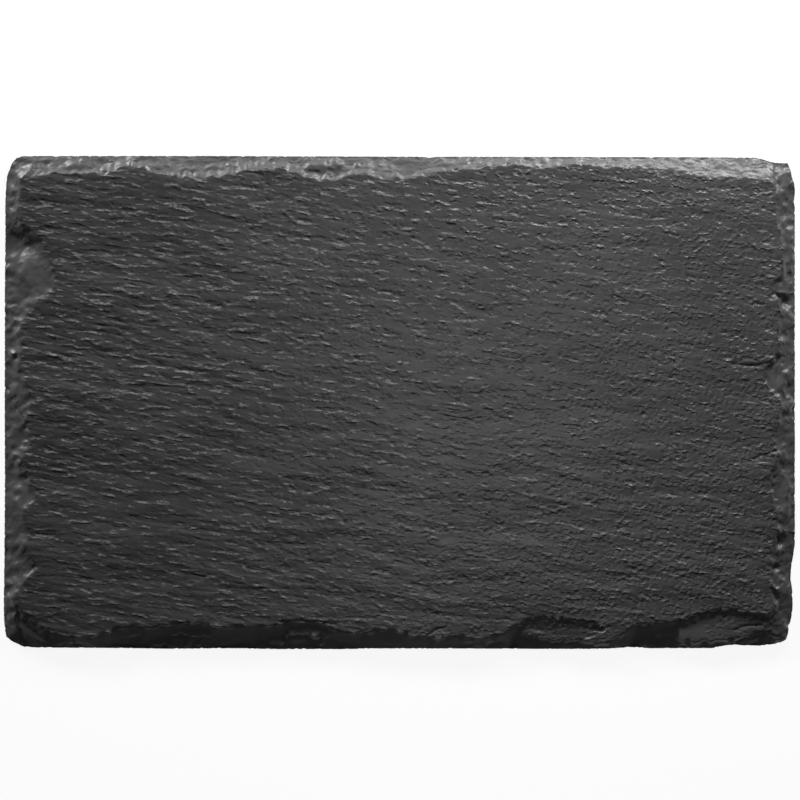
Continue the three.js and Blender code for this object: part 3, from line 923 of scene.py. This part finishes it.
def slateFinish():
    material = bpy.data.materials.new("rivenSlate")
    material.use_nodes = True
    tree = material.node_tree
    tree.nodes.clear()

    def add(kind, **settings):
        node = tree.nodes.new(kind)
        for name, value in settings.items():
            setattr(node, name, value)
        return node

    def wire(source, output, target, inlet):
        tree.links.new(source.outputs[output], target.inputs[inlet])

    out = add("ShaderNodeOutputMaterial")
    shader = add("ShaderNodeBsdfPrincipled")
    wire(shader, "BSDF", out, "Surface")
    shader.inputs["Specular IOR Level"].default_value = slate["specular"]
    coords = add("ShaderNodeTexCoord")

    def grained(across, along, tilt=slate["bumpTilt"]):
        # object coordinates, turned with the grain and drawn out along it
        turn = add("ShaderNodeMapping", vector_type="TEXTURE")
        turn.inputs["Rotation"].default_value = (0, 0, -math.radians(tilt))
        turn.inputs["Scale"].default_value = (along * mm, across * mm, across * mm)
        wire(coords, "Object", turn, "Vector")
        return turn

    def noise(source, detail, roughness, scale=1.0):
        texture = add("ShaderNodeTexNoise")
        texture.inputs["Scale"].default_value = scale
        texture.inputs["Detail"].default_value = detail
        texture.inputs["Roughness"].default_value = roughness
        wire(source, "Vector", texture, "Vector")
        return texture

    def between(source, output, low, high, toLow=0.0, toHigh=1.0):
        span = add("ShaderNodeMapRange")
        span.inputs["From Min"].default_value = low
        span.inputs["From Max"].default_value = high
        span.inputs["To Min"].default_value = toLow
        span.inputs["To Max"].default_value = toHigh
        wire(source, output, span, "Value")
        return span

    def patchy(across, along, detail, roughness, low, high, most=1.0):
        # noise drawn out along the grain, from 0 up to most
        texture = noise(grained(across, along), detail, roughness)
        return between(texture, "Fac", low, high, 0.0, most)

    def blend(factor, factorOut, first, second):
        mix = add("ShaderNodeMix", data_type="RGBA")
        wire(factor, factorOut, mix, "Factor")
        for value, inlet in ((first, 6), (second, 7)):
            if isinstance(value, tuple):
                mix.inputs[inlet].default_value = (*value, 1)
            else:
                tree.links.new(value.outputs[2], mix.inputs[inlet])
        return mix

    def reckon(kind, first, firstOut, second, secondOut=None):
        step = add("ShaderNodeMath", operation=kind)
        wire(first, firstOut, step, 0)
        if secondOut is None:
            step.inputs[1].default_value = second
        else:
            wire(second, secondOut, step, 1)
        return step

    def mask(name):
        return add("ShaderNodeAttribute", attribute_name=name)

    broken = mask("broken")
    ridge = mask("ridge")
    # relief too fine for the mesh, in millimetres: leaning streaks in patches, short scales
    # and grit
    across, along, detail, roughness, low, high = slate["patches"]
    patches = noise(grained(across, along, slate["patchTilt"]), detail, roughness)
    patchSpan = between(patches, "Fac", low, high, *slate["patchStrength"])
    slant = add("ShaderNodeVectorMath", operation="DOT_PRODUCT")
    slant.inputs[1].default_value = (*face["weaker"], 0)
    wire(coords, "Object", slant, 0)
    low, high, strong, weak = slate["strongest"]
    strength = between(slant, "Value", low * mm, high * mm, strong, weak)
    strength = reckon("MULTIPLY", strength, "Result", patchSpan, "Result")
    calm = reckon("MULTIPLY", broken, "Fac", -slate["brokenCalm"])
    calm = reckon("ADD", calm, "Value", 1.0)
    apart = add("ShaderNodeSeparateXYZ")
    wire(coords, "Object", apart, "Vector")
    low, high = slate["leftRight"]
    toRight = between(apart, "X", low * mm, high * mm)
    heights = []
    for name, values in slate["relief"].items():
        across, along, detail, roughness, lean, leftDepth, rightDepth = values
        place = grained(across, along)
        crest = noise(place, detail, roughness)
        push = reckon("MULTIPLY", crest, "Fac", -lean)
        shift = add("ShaderNodeCombineXYZ")
        wire(push, "Value", shift, "Y")
        moved = add("ShaderNodeVectorMath", operation="ADD")
        wire(place, "Vector", moved, 0)
        wire(shift, "Vector", moved, 1)
        leaning = noise(moved, detail, roughness)
        depth = between(toRight, "Result", 0, 1, leftDepth, rightDepth)
        height = reckon("SUBTRACT", leaning, "Fac", 0.5)
        height = reckon("MULTIPLY", height, "Value", depth, "Result")
        heights.append(height)
        if name == "streaks":
            # how much higher than a little farther back: the sides of the streaks that face the
            # light, which get the painted highlight
            beyond = add("ShaderNodeVectorMath", operation="ADD")
            beyond.inputs[1].default_value = (0, slate["highlightOffset"], 0)
            wire(moved, "Vector", beyond, 0)
            farther = noise(beyond, detail, roughness)
            facingLight = reckon("SUBTRACT", leaning, "Fac", farther, "Fac")
            facingLight = reckon("MULTIPLY", facingLight, "Value", depth, "Result")
            facingLight = reckon("MULTIPLY", facingLight, "Value", strength, "Value")
    streaks = reckon("ADD", heights[0], "Value", heights[1], "Value")
    streaks = reckon("MULTIPLY", streaks, "Value", strength, "Value")
    calmStreaks = reckon("MULTIPLY", streaks, "Value", calm, "Value")
    total = reckon("ADD", calmStreaks, "Value", heights[2], "Value")
    bump = add("ShaderNodeBump")
    bump.inputs["Strength"].default_value = 1.0
    bump.inputs["Distance"].default_value = mm
    wire(total, "Value", bump, "Height")
    wire(bump, "Normal", shader, "Normal")
    # colour: streaks along the grain, wide clouds, painted light growing to the right, painted
    # highlight on the ridges, pale broken stone, a few flecks and painted highlight on the
    # sides of the streaks that face the light
    streakSpan = patchy(*slate["streakColour"])
    colour = blend(streakSpan, "Result", slate["darkGrey"], slate["grey"])
    cloudSpan = patchy(*slate["cloudColour"], slate["cloudPale"])
    colour = blend(cloudSpan, "Result", colour, slate["lightGrey"])
    # painted light, growing towards the right
    paintedLightToRight = reckon("MULTIPLY", toRight, "Result", slate["paintedLightToRight"])
    colour = blend(paintedLightToRight, "Value", colour, slate["lightGrey"])
    # painted highlight on the ridge tops
    low, high, pale = slate["ridgeHighlight"]
    ridgeSpan = between(ridge, "Fac", low, high, 0.0, pale)
    colour = blend(ridgeSpan, "Result", colour, slate["lightGrey"])
    brokenSpan = reckon("MULTIPLY", broken, "Fac", slate["brokenPale"])
    colour = blend(brokenSpan, "Value", colour, slate["brokenGrey"])
    fleckSpan = patchy(*slate["fleckColour"], slate["fleckPale"])
    colour = blend(fleckSpan, "Result", colour, slate["fleckAndHighlight"])
    # painted highlight on the sides of the streaks that face the light, broken into bits
    low, high, pale = slate["lightFacingHighlight"]
    highlightSpan = between(facingLight, "Value", low, high, 0.0, pale)
    bitsSpan = patchy(*slate["bits"])
    paintedHighlight = reckon("MULTIPLY", highlightSpan, "Result", bitsSpan, "Result")
    paintedHighlight = reckon("MULTIPLY", paintedHighlight, "Value", calm, "Value")
    colour = blend(paintedHighlight, "Value", colour, slate["fleckAndHighlight"])
    tree.links.new(colour.outputs[2], shader.inputs["Base Color"])
    across, along, detail, roughness, low, high = slate["sheen"]
    sheen = noise(grained(across, along), detail, roughness)
    roughSpan = between(sheen, "Fac", low, high, slate["smooth"], slate["rough"])
    wire(roughSpan, "Result", shader, "Roughness")
    return material


mesh.materials.clear()
mesh.materials.append(slateFinish())
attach(stone, "root")
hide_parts("slab")
tell("slate finish")

# Floor, lights and camera

studio = {
    "floorSize": 8.0,
    "floorGlow": 0.90,
    "floorGrey": 0.15,
    "skyGlow": 0.02,
    "cameraHeight": 2.5,
    "cameraPlace": (0.0003, 0.0013),
    "sensorWidth": 36,
    "viewWidth": 0.40376,      # seen at the level of the face
    # name, azimuth from +X, elevation, distance, width, height, power
    "lights": (
        ("backLeft", 127, 13.5, 1.55, 0.6, 0.14, 26.2),
        ("backRight", 64, 20, 0.515, 0.3, 0.08, 2.4),
        ("sideRight", 50, 13.5, 1.0, 0.4, 0.12, 3.0),
        ("above", 0, 84.3, 0.402, 0.1, 0.1, 0.2),
    ),
}


def layFloor():
    half = studio["floorSize"] / 2
    sheet = bpy.data.meshes.new("floor")
    corners = [(-half, -half, 0), (half, -half, 0), (half, half, 0), (-half, half, 0)]
    sheet.from_pydata(corners, [], [(0, 1, 2, 3)])
    floor = bpy.data.objects.new("floor", sheet)
    bpy.context.scene.collection.objects.link(floor)
    paper = bpy.data.materials.new("palePaper")
    paper.use_nodes = True
    shader = paper.node_tree.nodes["Principled BSDF"]
    grey = studio["floorGrey"]
    shader.inputs["Base Color"].default_value = (grey, grey, grey, 1)
    shader.inputs["Roughness"].default_value = 1.0
    shader.inputs["Specular IOR Level"].default_value = 0.0
    shader.inputs["Emission Color"].default_value = (1, 1, 1, 1)
    shader.inputs["Emission Strength"].default_value = studio["floorGlow"]
    sheet.materials.append(paper)


def hangLight(name, azimuth, elevation, distance, width, height, power):
    lamp = bpy.data.lights.new(name, "AREA")
    lamp.shape = "RECTANGLE"
    lamp.size = width
    lamp.size_y = height
    lamp.energy = power
    light = bpy.data.objects.new(name, lamp)
    bpy.context.scene.collection.objects.link(light)
    turn = math.radians(azimuth)
    rise = math.radians(elevation)
    away = Vector((
        math.cos(turn) * math.cos(rise), math.sin(turn) * math.cos(rise), math.sin(rise),
    ))
    light.location = away * distance
    light.rotation_euler = away.to_track_quat("Z", "Y").to_euler()
    light.visible_camera = False


def setUpStudio():
    layFloor()
    for light in studio["lights"]:
        hangLight(*light)
    sky = bpy.data.worlds.new("studio")
    sky.use_nodes = True
    background = sky.node_tree.nodes["Background"]
    background.inputs["Color"].default_value = (1, 1, 1, 1)
    background.inputs["Strength"].default_value = studio["skyGlow"]
    bpy.context.scene.world = sky
    bpy.context.scene.view_settings.view_transform = "Standard"
    lens = bpy.data.cameras.new("camera")
    lens.sensor_width = studio["sensorWidth"]
    lens.lens = lens.sensor_width * studio["cameraHeight"] / studio["viewWidth"]
    camera = bpy.data.objects.new("camera", lens)
    camera.location = (*studio["cameraPlace"], studio["cameraHeight"] + topLevel * mm)
    bpy.context.scene.collection.objects.link(camera)
    bpy.context.scene.camera = camera


setUpStudio()
tell("studio")
